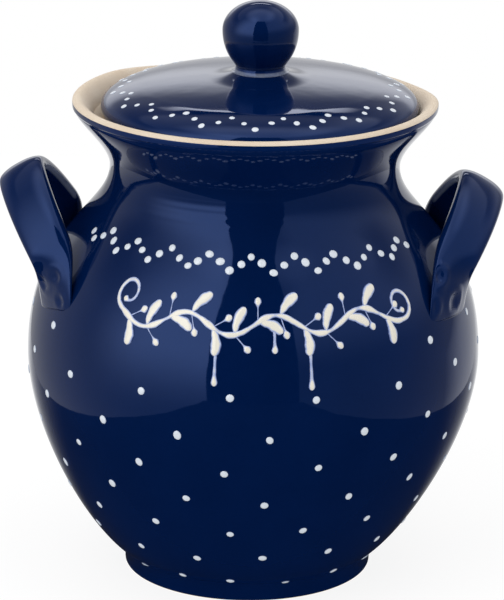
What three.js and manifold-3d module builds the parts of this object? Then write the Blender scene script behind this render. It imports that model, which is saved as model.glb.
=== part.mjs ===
// Potato storage pot: a wide thrown jar with a flared rim, two strap handles and a loose lid with a knob.
// Millimetres, +Z up. The origin is the centre of the flat base, and the handles stand on the X axis.
import * as THREE from "three";
import { mergeVertices } from "three/addons/utils/BufferGeometryUtils.js";
import Module from "manifold-3d";

const wasm = await Module();
wasm.setup();

// Pot, from the base upwards
const footRadius = 71.5;
const footHeight = 10.5;
const footEdge = 1.5; // rounding where the foot meets the table
const bellyRadius = 130;
const bellyRise = 118.4; // foot to the widest line
const neckRadius = 82.6;
const shoulderRise = 110.4; // widest line to the narrowest line of the neck
const rimFlare = 21.1; // how far the rim reaches out past the neck
const rimRise = 36.9; // neck to the outermost line of the rim
const potWall = 6.5;
const floorThickness = 8.5;
const floorCorner = 7; // rounding between the floor and the inside wall

// Fullness of the pot's curves: how far each curve runs along its tangent
const footPull = 18.5;
const footPullAngle = THREE.MathUtils.degToRad(23);
const bellyPullDown = 47;
const bellyPullUp = 72;
const neckPullDown = 29.5;
const neckPullUp = 13.3;
const rimPull = 9.4;
const rimPullAngle = THREE.MathUtils.degToRad(80);

// Lip and the stepped seat inside it that carries the lid
const lipThickness = 6.5;
const lipCrown = 2.2; // rounded top above the outermost line
const galleryDepth = 9; // outermost line of the rim down to the ledge
const galleryDraft = 3.5; // how far the inside of the lip slopes in on its way down

// Lid
const lidRestShift = 2.6; // the loose lid lies a little to the right in its seat
const lidSlack = 0.9; // what is left between lid and pot on the side it has moved to
const lidEdgeRise = 6; // ledge side to the widest line of the lid
const lidEdgeRound = 4; // undercut rounding below the widest line
const lidCrown = 15.4; // widest line to the flat top
const lidFlatRadius = 36;
const lidEdgePull = 8.7;
const lidTopPull = 26;
const lidThickness = 8;
const flangeThickness = 6; // locating ring under the lid
const flangeDepth = 12;
const hollowPull = 30; // fullness of the lid's underside

// Knob
const knobRadius = 21.3;
const knobWaistRadius = 14.2;
const knobWaistRise = 7.6;
const knobFootRadius = 18.5;

// Strap handles
const handleFootRise = 50.4; // widest line of the pot to the middle of each handle foot
const handleHalfSpan = 63; // middle of the handle to the middle of each foot
const handleLean = THREE.MathUtils.degToRad(60); // arch above the horizontal
const leftHandleRise = 62;
const rightHandleRise = 55; // set by hand, a little lower than the left one
const strapWidth = 28;
const strapThickness = 9;
const strapEdge = 3; // rounding along the strap's edges
const strapFootSpread = 4; // how much thicker the strap is pressed out where it meets the pot
const strapRoot = 16; // how far the legs run past the wall line before the pot's surface trims them
const archTopPull = 16;
const archLegPull = 30;
const archLegSlope = 7; // how far each leg leans in over its pull

const jointGap = 0.3; // between pieces that are luted or seated together

// How finely curves are divided
const potSegments = 64;
const lidSegments = 56;
const knobSegments = 40;
const longSteps = 9;
const shortSteps = 5;
const edgeSteps = 3;
const archSteps = 12;

// Heights and radii that follow from the sizes above
const bellyHeight = footHeight + bellyRise;
const neckHeight = bellyHeight + shoulderRise;
const rimHeight = neckHeight + rimRise;
const rimRadius = neckRadius + rimFlare;
const throatRadius = neckRadius - potWall;
const lipInnerRadius = rimRadius - lipThickness;
const galleryRadius = lipInnerRadius - galleryDraft;
const ledgeHeight = rimHeight - galleryDepth;
const lidSeatHeight = ledgeHeight + jointGap;
const lidClearance = lidRestShift + lidSlack;
const lidRadius = galleryRadius - lidClearance;
const lidEdgeHeight = lidSeatHeight + lidEdgeRise;
const lidTopHeight = lidEdgeHeight + lidCrown;
const flangeRadius = throatRadius - lidClearance;

const point = (x, y) => new THREE.Vector2(x, y);

// A cubic curve that leaves its start and reaches its end along the given pulls
function pulledCurve(start, startPull, endPull, end) {
  return new THREE.CubicBezierCurve(start, start.clone().add(startPull), end.clone().add(endPull), end);
}

// Points of a curve moved sideways, to the left of its direction when offset is positive
function sampled(curve, steps, offset = 0) {
  const points = [];
  for (let i = 0; i <= steps; i += 1) {
    const tangent = curve.getTangent(i / steps);
    points.push(curve.getPoint(i / steps).add(point(-tangent.y * offset, tangent.x * offset)));
  }
  return points;
}

// A profile of radius and height turned round the Z axis; it starts and ends on the axis
function turned(profile, segments) {
  return new THREE.LatheGeometry(profile, segments).rotateX(Math.PI / 2);
}

// A closed geometry as a solid that can be cut
function solidOf(geometry) {
  geometry.deleteAttribute("normal");
  geometry.deleteAttribute("uv");
  const merged = mergeVertices(geometry, 1e-4);
  const vertProperties = merged.attributes.position.array;
  const triVerts = new Uint32Array(merged.index.array);
  return new wasm.Manifold(new wasm.Mesh({ numProp: 3, vertProperties, triVerts }));
}

function geometryOf(solid) {
  const mesh = solid.getMesh();
  const geometry = new THREE.BufferGeometry();
  geometry.setAttribute("position", new THREE.BufferAttribute(mesh.vertProperties, 3));
  geometry.setIndex(new THREE.BufferAttribute(mesh.triVerts, 1));
  geometry.computeVertexNormals();
  return geometry;
}

// Outside of the pot: lower wall, shoulder and flared neck, each running upwards
const lowerWall = pulledCurve(
  point(footRadius, footHeight),
  point(Math.cos(footPullAngle), Math.sin(footPullAngle)).multiplyScalar(footPull),
  point(0, -bellyPullDown),
  point(bellyRadius, bellyHeight),
);
const shoulder = pulledCurve(
  point(bellyRadius, bellyHeight),
  point(0, bellyPullUp),
  point(0, -neckPullDown),
  point(neckRadius, neckHeight),
);
const flare = pulledCurve(
  point(neckRadius, neckHeight),
  point(0, neckPullUp),
  point(-Math.cos(rimPullAngle), -Math.sin(rimPullAngle)).multiplyScalar(rimPull),
  point(rimRadius, rimHeight),
);

// The pot's outside from the base's centre to the rim, swollen by grow
function potOutside(grow) {
  return [
    point(0, -grow),
    point(footRadius - footEdge, -grow),
    point(footRadius + grow, footEdge),
    point(footRadius + grow, footHeight),
    ...sampled(lowerWall, longSteps, -grow).slice(1),
    ...sampled(shoulder, longSteps, -grow).slice(1),
    ...sampled(flare, shortSteps, -grow).slice(1),
  ];
}

function potBody() {
  const lipHalf = lipThickness / 2;
  const lip = new THREE.EllipseCurve(rimRadius - lipHalf, rimHeight, lipHalf, lipCrown, 0, Math.PI);
  const insideShoulder = sampled(shoulder, longSteps, potWall).reverse();
  const insideLower = sampled(lowerWall, longSteps, potWall).reverse();
  const lowest = insideLower.at(-1);
  const profile = [
    ...potOutside(0),
    ...lip.getPoints(2 * edgeSteps).slice(1),
    point(galleryRadius, ledgeHeight),
    point(throatRadius, ledgeHeight),
    ...insideShoulder,
    ...insideLower.slice(1),
    point(lowest.x - floorCorner, floorThickness),
    point(0, floorThickness),
  ];
  return turned(profile, potSegments);
}

function lidShell() {
  const edge = pulledCurve(
    point(lidRadius - lidEdgeRound, lidSeatHeight),
    point(lidEdgeRound / 2, 0),
    point(0, -lidEdgeRise / 2),
    point(lidRadius, lidEdgeHeight),
  );
  const top = pulledCurve(
    point(lidRadius, lidEdgeHeight),
    point(0, lidEdgePull),
    point(lidTopPull, 0),
    point(lidFlatRadius, lidTopHeight),
  );
  const hollow = pulledCurve(
    point(0, lidTopHeight - lidThickness),
    point(hollowPull, 0),
    point(0, lidThickness / 2),
    point(flangeRadius - flangeThickness, lidSeatHeight),
  );
  const flangeHalf = flangeThickness / 2;
  const flangeEnd = new THREE.EllipseCurve(
    flangeRadius - flangeHalf, lidSeatHeight - flangeDepth + flangeHalf,
    flangeHalf, flangeHalf, Math.PI, 2 * Math.PI,
  );
  const profile = [
    ...hollow.getPoints(shortSteps),
    ...flangeEnd.getPoints(2 * edgeSteps),
    point(flangeRadius, lidSeatHeight),
    ...edge.getPoints(edgeSteps),
    ...top.getPoints(longSteps).slice(1),
    point(0, lidTopHeight),
  ];
  return turned(profile, lidSegments);
}

function ballKnob() {
  const footHeightAboveLid = lidTopHeight + jointGap;
  const waist = point(knobWaistRadius, lidTopHeight + knobWaistRise);
  const waistAngle = -Math.acos(knobWaistRadius / knobRadius);
  const ballHeight = waist.y - knobRadius * Math.sin(waistAngle);
  const ball = new THREE.EllipseCurve(0, ballHeight, knobRadius, knobRadius, waistAngle, Math.PI / 2);
  const collar = new THREE.QuadraticBezierCurve(
    point(knobFootRadius, footHeightAboveLid),
    point(knobWaistRadius, footHeightAboveLid),
    waist,
  );
  const profile = [
    point(0, footHeightAboveLid),
    ...collar.getPoints(edgeSteps),
    ...ball.getPoints(longSteps).slice(1, -1),
    point(0, ballHeight + knobRadius),
  ];
  return turned(profile, knobSegments);
}

// Radius of the pot's outside at a height on the shoulder
function shoulderRadius(height) {
  let low = 0;
  let high = 1;
  for (let i = 0; i < 40; i += 1) {
    const middle = (low + high) / 2;
    if (shoulder.getPoint(middle).y < height) low = middle;
    else high = middle;
  }
  return shoulder.getPoint(low).x;
}

// One half of the arch, from its top down to a leg's end: inwards when side is -1, outwards when it is +1
function archHalf(rise, side) {
  const thickness = (side * strapThickness) / 2;
  const slant = thickness * Math.SQRT1_2;
  const foot = handleHalfSpan + (side * (strapThickness + strapFootSpread)) / 2;
  return new THREE.CubicBezierCurve(
    point(0, rise + thickness),
    point(archTopPull, rise + thickness),
    point(handleHalfSpan - archLegSlope + slant, archLegPull + slant),
    point(foot, -strapRoot),
  ).getPoints(archSteps);
}

// A strap bent into an arch, leaning out over the shoulder, trimmed to the pot's surface
function strapHandle(rise, turn, pot) {
  const mirrored = (points) => points.map((p) => point(-p.x, p.y));
  const outer = archHalf(rise, 1);
  const inner = archHalf(rise, -1);
  const overTheTop = [...mirrored(outer).toReversed(), ...outer.slice(1)];
  const backUnderneath = [...inner.toReversed(), ...mirrored(inner).slice(1)];
  const outline = [...overTheTop, ...backUnderneath];
  const rounding = Math.min(strapEdge, strapThickness / 2 - jointGap);
  const flat = strapWidth - 2 * rounding;
  const strap = new THREE.ExtrudeGeometry(new THREE.Shape(outline), {
    depth: flat,
    bevelThickness: rounding,
    bevelSize: rounding,
    bevelOffset: -rounding,
    bevelSegments: edgeSteps,
  });
  strap.translate(0, 0, -flat / 2);
  const across = new THREE.Vector3(0, 1, 0);
  const upwards = new THREE.Vector3(Math.cos(handleLean), 0, Math.sin(handleLean));
  strap.applyMatrix4(new THREE.Matrix4().makeBasis(across, upwards, across.clone().cross(upwards)));
  const footHeightOnPot = bellyHeight + handleFootRise;
  const reach = Math.sqrt(shoulderRadius(footHeightOnPot) ** 2 - handleHalfSpan ** 2);
  strap.translate(reach, 0, footHeightOnPot);
  strap.rotateZ(turn);
  return geometryOf(solidOf(strap).subtract(pot));
}

const glaze = (colour) => new THREE.MeshStandardMaterial({ color: colour, roughness: 0.12, metalness: 0 });

function named(name, geometry, material) {
  const mesh = new THREE.Mesh(geometry, material);
  mesh.name = name;
  return mesh;
}

const potFilled = solidOf(turned([...potOutside(jointGap), point(0, rimHeight)], potSegments));
const pot = new THREE.Group();
pot.add(named("pot_body", potBody(), glaze(0x1a2350)));
pot.add(named("handle_right", strapHandle(rightHandleRise, 0, potFilled), glaze(0x1c2656)));
pot.add(named("handle_left", strapHandle(leftHandleRise, Math.PI, potFilled), glaze(0x1c2656)));

const lid = new THREE.Group();
lid.position.x = lidRestShift;
lid.add(named("lid", lidShell(), glaze(0x1a2350)));
lid.add(named("lid_knob", ballKnob(), glaze(0x161e48)));

const potatoPot = new THREE.Group();
potatoPot.add(pot, lid);

export default potatoPot;
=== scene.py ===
from bisect import bisect_right
from math import atan2, cos, exp, pi, radians, sin, sqrt
from random import Random

import bmesh
import bpy
from mathutils import Matrix, Quaternion, Vector
from mathutils.geometry import interpolate_bezier


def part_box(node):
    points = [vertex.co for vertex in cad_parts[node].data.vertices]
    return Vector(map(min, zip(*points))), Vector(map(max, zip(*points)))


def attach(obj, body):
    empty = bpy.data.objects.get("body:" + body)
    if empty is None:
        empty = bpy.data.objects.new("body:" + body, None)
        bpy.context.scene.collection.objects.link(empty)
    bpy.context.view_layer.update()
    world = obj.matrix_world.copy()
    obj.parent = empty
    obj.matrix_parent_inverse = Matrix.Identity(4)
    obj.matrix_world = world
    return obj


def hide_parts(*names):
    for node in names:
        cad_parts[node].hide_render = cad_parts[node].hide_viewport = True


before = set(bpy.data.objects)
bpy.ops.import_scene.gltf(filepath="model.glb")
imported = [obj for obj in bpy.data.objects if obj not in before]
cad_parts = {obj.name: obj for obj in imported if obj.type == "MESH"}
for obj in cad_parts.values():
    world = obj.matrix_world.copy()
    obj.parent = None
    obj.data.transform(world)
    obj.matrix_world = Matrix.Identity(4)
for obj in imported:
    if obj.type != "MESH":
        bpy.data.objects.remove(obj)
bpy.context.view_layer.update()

MM = 0.001

# Camera: where the photograph was taken from, its focal length in pixels of the frame's height
CAMERA_DISTANCE = 2.0107
CAMERA_HEIGHT = 0.78206
CAMERA_AIM = Vector((-0.93 * MM, 0, 157.71 * MM))
CAMERA_ROLL = 0.009
SENSOR_SIZE = 36
FOCAL_PIXELS = 3656.93
FRAME_PIXELS = 600

# Pot: heights and radii of the turned outline
POT_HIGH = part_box("pot_body")[1]
FOOT_RADIUS = 71.5 * MM
FOOT_HEIGHT = 10.5 * MM
FOOT_EDGE = 1.5 * MM
BELLY_RADIUS = POT_HIGH.x
BELLY_HEIGHT = 128.9 * MM
NECK_RADIUS = 82.6 * MM
NECK_HEIGHT = 239.3 * MM
RIM_RADIUS = 103.7 * MM
LIP_CROWN = 2.2 * MM
RIM_HEIGHT = POT_HIGH.z - LIP_CROWN
LIP_THICKNESS = 6.5 * MM
WALL = 6.5 * MM
FLOOR_THICKNESS = 8.5 * MM
FLOOR_CORNER = 7 * MM
LEDGE_HEIGHT = 267.2 * MM
LEDGE_EDGE = 1 * MM
GALLERY_RADIUS = 93.7 * MM
GALLERY_SLOPE = 2.2 * MM
THROAT_RADIUS = NECK_RADIUS - WALL
RIM_BAND = 2.8 * MM
RIM_BAND_STEP = 0.7 * MM
BAND_CORNER_DEPTH = 0.15 * MM
BAND_CORNER_RISE = 0.25 * MM

# Pulls: how far the pot's curves run on from their ends before they bend, across and up
FOOT_PULL = (17.03 * MM, 7.23 * MM)
BELLY_PULL_DOWN = (0, -47 * MM)
BELLY_PULL_UP = (0, 72 * MM)
NECK_PULL_DOWN = (0, -29.5 * MM)
NECK_PULL_UP = (0, 13.3 * MM)
RIM_PULL = (-2.2 * MM, -7.5 * MM)
LIP_PULL = (-3.8 * MM, 0)
GALLERY_PULL = (0.9 * MM, 3.4 * MM)
CORNER_WALL_PULL = (-2 * MM, -3 * MM)
CORNER_FLOOR_PULL = (3 * MM, 0)

# How far the thrown pot strays from true, and the grooves that fingers left in its neck
FOOT_SHIFT = -2.5 * MM
LIP_DIP = 3.6 * MM
LIP_DIP_ANGLE = radians(160)
LIP_DIP_START = 0.2
LIP_DIP_SPAN = 0.6
GROOVE_HEIGHTS = (227 * MM, 231.5 * MM, 236 * MM)
GROOVE_DEPTH = 0.16 * MM
GROOVE_WIDTH = 2.2 * MM
GROOVE_ANGLE = radians(-18)
GROOVE_REACH = radians(46)

# Where the glaze runs thin on rim and foot, and where the clay is bare
RIM_THINNING = 0.5
RIM_THIN_REACH = 1.6 * RIM_BAND
FOOT_THINNING = 0.3
FOOT_THIN_DROP = 1.5 * MM
FOOT_THIN_REACH = 3 * MM
BARE_LEDGE_DEPTH = 0.9 * MM
BARE_LIP_RISE = 0.3 * MM
BARE_BASE_RISE = 0.7 * MM

# Lid, with its locating ring
LID_LOW, LID_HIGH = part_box("lid")
LID_CENTRE = (LID_LOW.x + LID_HIGH.x) / 2
LID_RADIUS = (LID_HIGH.x - LID_LOW.x) / 2
LID_SEAT_GAP = 0.3 * MM
LID_SEAT = LEDGE_HEIGHT + LID_SEAT_GAP
LID_EDGE_RISE = 6 * MM
LID_EDGE_HEIGHT = LID_SEAT + LID_EDGE_RISE
LID_EDGE_ROUND = 4 * MM
LID_TOP = LID_HIGH.z
LID_DOME_RADIUS = 19.5 * MM
LID_DOME_TOP = LID_TOP + 1.5 * MM
LID_FILLET_RADIUS = 30 * MM
LID_CROWN_RADIUS = 16.2 * MM
LID_CROWN = LID_TOP + 4.2 * MM
LID_THICKNESS = 8 * MM
RING_RADIUS = 72.6 * MM
RING_THICKNESS = 6 * MM
RING_FOOT = LID_LOW.z
LID_SEAT_PULL = (LID_EDGE_ROUND / 2, 0)
LID_EDGE_PULL_DOWN = (0, -3 * MM)
LID_EDGE_PULL_UP = (0, 9.7 * MM)
LID_DOME_PULL = (46 * MM, -2.2 * MM)
LID_FILLET_PULL = (-8 * MM, 0.4 * MM)
LID_CROWN_PULL = (1.3 * MM, -1.1 * MM)
LID_HOLLOW_PULL = (30 * MM, 0)
LID_RING_PULL = (0, 4 * MM)
LID_RIDGE_RADIUS = 69 * MM
LID_RIDGE_WANDER = 1.6 * MM
LID_RIDGE_WIDTH = 3 * MM
LID_RIDGE_HEIGHT = 0.06 * MM
LID_RIDGE_SLOW_WAVES = 5
LID_RIDGE_QUICK_WAVES = 9
LID_RIDGE_TURN = 1
LID_RIDGE_BEHIND = 0.35
LID_THINNING = 0.35
LID_THIN_RISE = 2 * MM
LID_THIN_REACH = 4 * MM
LID_BARE_RISE = 1.2 * MM

# Knob
KNOB_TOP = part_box("lid_knob")[1].z
KNOB_RADIUS = 21.6 * MM
KNOB_CROWN = 16.6 * MM
KNOB_WAIST_RADIUS = 13.9 * MM
KNOB_WAIST_HEIGHT = LID_TOP + 7.6 * MM
KNOB_SINK = 0.2 * MM
KNOB_FOOT = LID_CROWN - KNOB_SINK
COLLAR_PULL = (-1.6 * MM, 0.4 * MM)
WAIST_PULL_DOWN = (0.3 * MM, -2 * MM)
WAIST_PULL_UP = (2 * MM, 3.2 * MM)
KNOB_PULL_DOWN = (0, -11.5 * MM)
# Painted highlight: a pale ring just below the knob's waist, given as glaze thinning past 1 so that it
# takes the break colour
WAIST_HIGHLIGHT = 1.3
WAIST_HIGHLIGHT_FULL = 1.2
WAIST_HIGHLIGHT_DROP = 2.6 * MM
WAIST_HIGHLIGHT_REACH = 2.4 * MM

# Points along the curves, and steps round the turned pieces
LOWER_WALL_STEPS = 40
SHOULDER_STEPS = 150
FLARE_STEPS = 24
FOOT_STEPS = 5
LIP_STEPS = 8
GALLERY_STEPS = 16
CORNER_STEPS = 4
LID_EDGE_STEPS = 8
LID_DOME_STEPS = 90
LID_FILLET_STEPS = 20
LID_HOLLOW_STEPS = 16
RING_STEPS = 10
COLLAR_STEPS = 16
FLANK_STEPS = 24
CROWN_STEPS = 32
POT_TURN_STEPS = 192
LID_TURN_STEPS = 160
KNOB_TURN_STEPS = 96
MERGE_DISTANCE = 1e-6

# Strap handles
LEFT_RISE = 62 * MM
RIGHT_RISE = 55 * MM
HANDLE_FOOT_HEIGHT = BELLY_HEIGHT + 50.4 * MM
HANDLE_HALF_SPAN = 63 * MM
HANDLE_LEAN = radians(60)
ARCH_TOP_PULL = 16 * MM
ARCH_LEG_PULL = 30 * MM
ARCH_LEG_SLOPE = 7 * MM
ARCH_STEPS = 72
STRAP_WIDTH = 28 * MM
STRAP_THICKNESS = 9 * MM
STRAP_SQUARENESS = 0.7
STRAP_CROWN = 0.2
STRAP_TAPER = 0.13
STRAP_SIDES = 60
STRAP_ROOT = 14 * MM
STRAP_LEAVES_ARCH = 28 * MM
LEG_PULL = 14 * MM
PAD_PULL = 19 * MM
PAD_DIVE = 8 * MM
PAD_DEPTH = 3.6 * MM
PAD_STEPS = 40

# Where each strap's feet run out on the wall: angle, height, width and fall across the foot
LEFT_PAD = (radians(65.5), 167 * MM, 40 * MM, 0.2)
RIGHT_PAD = (radians(63), 166 * MM, 46 * MM, 0.08)

# Thumb marks on the feet: angle and height on the wall, radius and depth
RIGHT_PRESSES = [
    (radians(58), 189 * MM, 5.5 * MM, 2.2 * MM),
    (radians(63.5), 174 * MM, 6 * MM, 2.2 * MM),
    (radians(53.5), 176 * MM, 5.5 * MM, 1.6 * MM),
    (radians(120), 186 * MM, 7 * MM, 2 * MM),
    (radians(115), 174 * MM, 6 * MM, 1.8 * MM),
]
LEFT_PRESSES = [
    (radians(62), 187 * MM, 7 * MM, 2 * MM),
    (radians(57), 175 * MM, 6 * MM, 1.6 * MM),
    (radians(117), 184 * MM, 4 * MM, 1.1 * MM),
    (radians(111.5), 178 * MM, 4.5 * MM, 1.2 * MM),
    (radians(119), 174 * MM, 4 * MM, 1.1 * MM),
]

# Shape of a thumb mark, in shares of its depth and radius, and how it fades on the strap's section
PRESS_RIM_HEIGHT = 0.3
PRESS_RIM_RADIUS = 1.15
PRESS_RIM_WIDTH = 0.45
PRESS_EDGE_FADE = 0.3
PRESS_LOWEST = -0.3

# Where the glaze runs thin on a strap's corners, and a painted highlight line with glaze break along its
# inner edges until the feet begin
CORNER_THINNING = 0.5
CORNER_START = 0.3
INNER_BREAK_AND_HIGHLIGHT = 1.5
INNER_EDGE_ACROSS = 0.93
INNER_EDGE_DEPTH = 0.62
INNER_EDGE_SPREAD = 0.16
THINNING_FADE_STEPS = 8

# Dots of slip
BELLY_DOT = 2.4 * MM
GARLAND_DOT = 2.35 * MM
LID_DOT = 1.85 * MM
DOT_HEIGHT = 0.65 * MM
LID_DOT_HEIGHT = 0.4 * MM
DOT_SINK = 0.08 * MM
DOT_SEGMENTS = 12
DOT_RINGS = 8
DOT_SIZES = (0.88, 1.1)
DOT_STRETCHES = (0.92, 1.1)
DOT_TURNS = (-0.6, 0.6)
DOT_SEED = 11
ZIGZAG_LEVELS = (-1, 0, 1, 0)
ZIGZAG_DRIFT = 0.03
ZIGZAG_LIFT_DRIFT = 0.14
GARLAND_WAVES = 26
GARLAND_START = radians(-7.5)
GARLAND_HEIGHT = 208.9 * MM
GARLAND_SWING = 3.4 * MM
GARLAND_LEAN = 1.4 * MM
LID_GARLAND_WAVES = 17
LID_GARLAND_START = radians(-1.2)
LID_GARLAND_RADIUS = 79 * MM
LID_GARLAND_SWING = 4.4 * MM
DOT_COLUMNS = 32
DOT_ROWS = 4
DOT_FIRST_HEIGHT = 13.5 * MM
DOT_ROW_PITCH = 42.2 * MM
DOT_COLUMN_START = radians(5)
DOT_HEIGHT_DRIFT = 2 * MM
DOT_ANGLE_DRIFT = radians(1.2)
HANDLE_CLEARING_LEFT = radians(21)
HANDLE_CLEARING_RIGHT = radians(30)

# Trailed vine, laid out along the wall and up it; slip ran down from a few leaves, told by their number
VINE_CLEARING = radians(44)
VINE_CLEARING_HEIGHT = 150 * MM
VINE_RADIUS = 120 * MM
VINE_HEIGHT = 180 * MM
VINE_WAVE = 50 * MM
VINE_SWING = 5 * MM
VINE_START = -80 * MM
VINE_END = 92 * MM
VINE_STEPS = 28
VINE_TANGENT = 1 * MM
STEM_WIDTH = 3.2 * MM
STEM_THINNEST = 0.65
STEM_THICKEST = 1.3
STEM_SWELL_PITCH = 1.9
LEAF_PITCH = 12.5 * MM
LEAF_FIRST = 0.6
LEAF_FORWARD = 0.75
LEAF_LENGTH = 15 * MM
LEAF_WIDTH = 6.4 * MM
LEAF_BOW = 0.12
LEAF_SHAPE = [(0, 0.2), (0.3, 0.7), (0.6, 1), (0.8, 0.85)]
LEAF_WIDEST = 2
BERRY_STALK = 8.5 * MM
BERRY_AHEAD = 5 * MM
BERRY_WIDTH = 4.6 * MM
STALK_ROOT_WIDTH = 0.9 * MM
STALK_WIDTH = 0.8 * MM
STALK_STRAIGHT = 0.65
CURL_RADIUS = 8 * MM
CURL_POINTS = 14
CURL_LEAD = 5 * MM
CURL_ANGLE = 2.1 * pi
CURL_INNERMOST = 0.42
CURL_ROOT_WIDTH = 0.95
CURL_END_WIDTH = 0.55
CURL_TIP_WIDTH = 1.2
RUN_WIDTH = 1.7 * MM
RUN_BULB = 3.8 * MM
RUN_LENGTHS = {4: 20 * MM, 6: 12 * MM, 8: 22.5 * MM}
RUN_SHAPE = [(1, 1.4), (0.5, 1), (0.25, 1.2)]

# How high a trail of slip stands and how much of its colour it has, by its width and across its section
SLIP_LIFT = 0.9 * MM
SLIP_ROOT = -0.25
THIN_SLIP = 1.2 * MM
THICK_SLIP = 4 * MM
THIN_SLIP_LIFT = 0.45
THIN_SLIP_BODY = 0.32
THICK_SLIP_BODY = 0.85
SLIP_FALLOFF = 2.5
TRAIL_STEPS = 7
TRAIL_SIDES = 12
TRAIL_CAP = (0.3, 0.55, 0.78, 0.95)

# A smooth line's pull at a point is a sixth of the chord between the points on either side of it
CHORD_TO_PULL = 6

# Studio: soft light on the object, brightness of walls and lamps in the gloss, table and cards
TENT_LIGHT = 0.62
WALL_RIGHT = 0.3
WALL_LEFT = 0.5
LEFT_SOFTBOX = 2.1
RIGHT_SOFTBOX = 0.6
TOP_SOFTBOX = 1.2
BACK_SOFTBOX = 0.8
BACKDROP = 0.85
BACK_CEILING = 0.22
WALL_FALL = 0.6
BACKDROP_TURN = 0.4
STRIP_LAMP = 3.0
TABLE_HALF_WIDTH = 0.32
TABLE_FRONT = -0.78
TABLE_BACK = 0.9
FLOOR_WHITE = 0.86
FLOOR_BOUNCE = 0.6
FLOOR_SHADE = 0.2
GAP_DISTANCE = 2.6
GAP_HALF_WIDTH = 1.06
GAP_TOP = 6.0
GAP_BOTTOM = -0.6
CARD_LIFT = 0.4 * MM
CARD_ROUGHNESS = 0.9
CARD_CLEAR_ASIDE = (0.06, 0.12)
CARD_CLEAR_BACKWARD = (0.1, 1.7)

# Where in the studio each wall and lamp fades in, from none to full, along a direction's X, Y or Z
LEFT_X = (0.05, -0.3)
LEFT_SOFTBOX_Y = (0.1, -0.55)
LEFT_SOFTBOX_Z = (-0.35, 0.3)
RIGHT_SOFTBOX_X = (0.1, 0.4)
RIGHT_SOFTBOX_Z = (0.05, 0.55)
TOP_SOFTBOX_Z = (0.82, 0.97)
GLOOM_Y = (-0.1, 0.3)
GLOOM_FOOT_Z = (0.3, 0.6)
GLOOM_TOP_Z = (0.68, 0.62)
BACKDROP_Y = (0.6, 0.95)
BACKDROP_TURN_Z = (0.15, -0.2)
BACK_CEILING_Z = (0.27, 0.46)
BACK_SOFTBOX_Y = (0.75, 0.93)
BACK_SOFTBOX_FOOT_Z = (0.08, 0.2)
BACK_SOFTBOX_TOP_Z = (0.4, 0.26)
STRIP_ASIDE = (0.2, 0.1)
STRIP_Y = (0.5, 0.65)
STRIP_FOOT_Z = (0.515, 0.53)
STRIP_TOP_Z = (0.58, 0.567)
DARK_LINE_FOOT_Z = (0.572, 0.585)
DARK_LINE_TOP_Z = (0.64, 0.62)

# Lamps on the object: place, aim, width, height and radiance
SOFT_LAMPS = {
    "left_softbox": ((-1.47, -1.64, 1.7), (0, 0, 0.15), 1.5, 3.0, 1.2),
    "right_softbox": ((1.9, -1.1, 2.4), (0, 0, 0.15), 2.0, 2.0, 0.3),
    "top_softbox": ((0, -0.4, 3.2), (0, -0.4, 0), 3.0, 2.0, 0.8),
}


def rgb(red, green, blue):
    return (red, green, blue, 1)


# Finishes: colours, noise patterns, and the gain and base that turn a noise into a share or a roughness
GLAZE_THICK = rgb(0.0004, 0.0095, 0.058)
GLAZE_THIN = rgb(0.002, 0.017, 0.098)
# Pale grey-blue of glaze breaking over an edge, also the colour of the painted highlights on the knob's
# waist and the straps' inner edges
GLAZE_BREAK_AND_HIGHLIGHT = rgb(0.48, 0.53, 0.62)
GLAZE_SHEEN = rgb(0.27, 0.43, 1.0)
GLAZE_IOR = 1.5
GLAZE_CLOUD = {"Scale": 26.0, "Detail": 3.0, "Roughness": 0.55}
GLAZE_SPECK = {"Scale": 520.0, "Detail": 2.0}
GLAZE_RIPPLE = {"Scale": 75.0, "Detail": 1.0}
GLAZE_DRIFT = (0.5, -0.17)
GLAZE_GRAIN = (0.24, -0.12)
GLAZE_ROUGHNESS = (0.04, 0.025)
GLAZE_CLOUD_HEIGHT = 2.0
GLAZE_BUMP = {"Strength": 0.12, "Distance": 0.4 * MM}
CLAY_DARK = rgb(0.74, 0.57, 0.41)
CLAY_PALE = rgb(0.95, 0.85, 0.71)
CLAY_IRON = rgb(0.42, 0.27, 0.16)
CLAY_CLOUD = {"Scale": 38.0, "Detail": 4.0}
CLAY_GRAIN = {"Scale": 1500.0, "Detail": 2.0}
CLAY_ROUGHNESS = (0.2, 0.55)
CLAY_BUMP = {"Strength": 0.35, "Distance": 0.2 * MM}
IRON_SCALE = 420.0
IRON_FADE = {"From_Min": 0.06, "From_Max": 0.14, "To_Min": 0.55, "To_Max": 0.0}
SLIP_CLOUD = {"Scale": 380.0, "Detail": 3.0}
SLIP_DRIFT = (0.4, -0.2)
SLIP_ROUGHNESS = (0.12, 0.06)
SLIP_EDGE_FADE = (0.02, 0.3)
SLIP_FULL_FADE = (0.25, 0.62)
DARK_CARD = rgb(0.01, 0.01, 0.012)

# Slip colours: full in the thick middle, on the shoulder of a trail and at its edge
WHITE_SLIP = (rgb(0.85, 0.91, 0.99), rgb(0.55, 0.64, 0.80), rgb(0.03, 0.07, 0.25))
CREAM_SLIP = (rgb(0.95, 0.91, 0.8), rgb(0.4, 0.5, 0.82), rgb(0.02, 0.05, 0.2))

# A piece's materials, in the order that its faces number them
GLAZED = 0
BARE = 1


def link(obj):
    bpy.context.scene.collection.objects.link(obj)
    return obj


def place_camera():
    data = bpy.data.cameras.new("photo_camera")
    data.sensor_width = SENSOR_SIZE
    data.lens = SENSOR_SIZE * (FOCAL_PIXELS / FRAME_PIXELS)
    camera = link(bpy.data.objects.new("photo_camera", data))
    camera.location = (0, -CAMERA_DISTANCE, CAMERA_HEIGHT)
    look = CAMERA_AIM - camera.location
    camera.rotation_mode = "QUATERNION"
    camera.rotation_quaternion = look.to_track_quat("-Z", "Y") @ Quaternion((0, 0, 1), CAMERA_ROLL)
    bpy.context.scene.camera = camera


# Node helpers

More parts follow.
